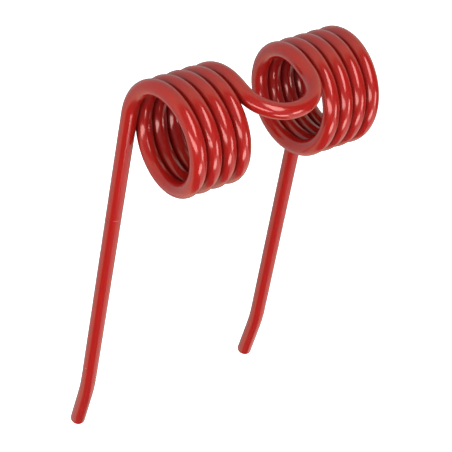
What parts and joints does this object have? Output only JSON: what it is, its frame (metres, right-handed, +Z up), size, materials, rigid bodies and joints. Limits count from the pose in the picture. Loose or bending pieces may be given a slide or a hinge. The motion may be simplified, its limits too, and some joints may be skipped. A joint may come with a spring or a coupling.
{
  "type": "pickup tine",
  "caption": "Sprung tine of round wire that gathers hay or straw on the pickup reel of a baler: straight legs hang from close-wound coils that a U-shaped bridge joins.",
  "frame": {"origin": "on the common axis of both coils, halfway between them", "axes": "+X along the coil axis, +Z up, away from the tips of the legs, and +Y to the back, where the legs leave the coils and their tips kick out; the bridge is at the front"},
  "size_m": [0.0874, 0.0453, 0.1747],
  "materials": {
    "red_paint": "gloss"
  },
  "bodies": {
    "root": {"pickup_tine": "red_paint"}
  },
  "joints": []
}
